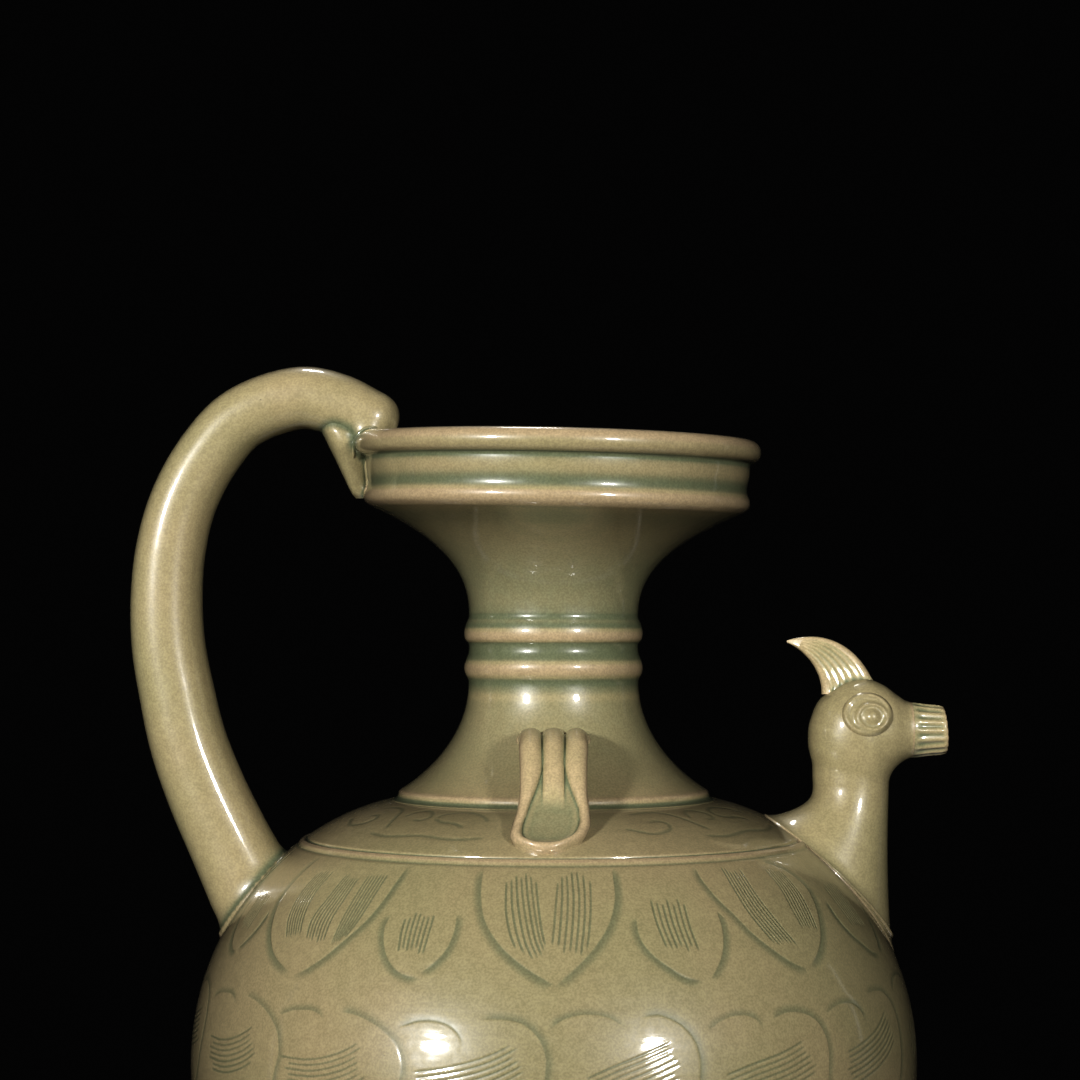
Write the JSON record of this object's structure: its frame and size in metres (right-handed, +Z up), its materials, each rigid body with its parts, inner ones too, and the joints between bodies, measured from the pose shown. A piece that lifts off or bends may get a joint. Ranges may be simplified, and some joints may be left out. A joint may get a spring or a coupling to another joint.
{
  "type": "chicken-head ewer",
  "caption": "Celadon ewer with a dish mouth, ribbed neck, round belly, cockerel-head spout, a handle that bites the rim and cord lugs.",
  "frame": {"origin": "middle of the flat base, on the surface that the ewer stands on", "axes": "+Z up along the axis of the body, +X towards the spout, -X towards the handle"},
  "size_m": [0.2157, 0.188, 0.2754],
  "materials": {
    "celadon": "glossy transparent olive-green celadon glaze, blue-green where it pools",
    "thin_celadon": "the same glaze run thin over ridges, so that the clay shows pinkish tan",
    "bare_clay": "unglazed fired stoneware, matte, with pale firing marks"
  },
  "bodies": {
    "root": {"base_disc": "bare_clay", "lower_belly": "celadon", "upper_belly": "celadon", "neck": "celadon", "dish_mouth": "celadon", "handle": "celadon", "handle_jaw": "celadon", "spout_neck": "celadon", "chicken_head": "celadon", "comb": "thin_celadon", "beak_tube": "thin_celadon", "eye_right": "celadon", "eye_left": "celadon", "lug_front": "thin_celadon", "lug_back": "thin_celadon"}
  },
  "joints": []
}
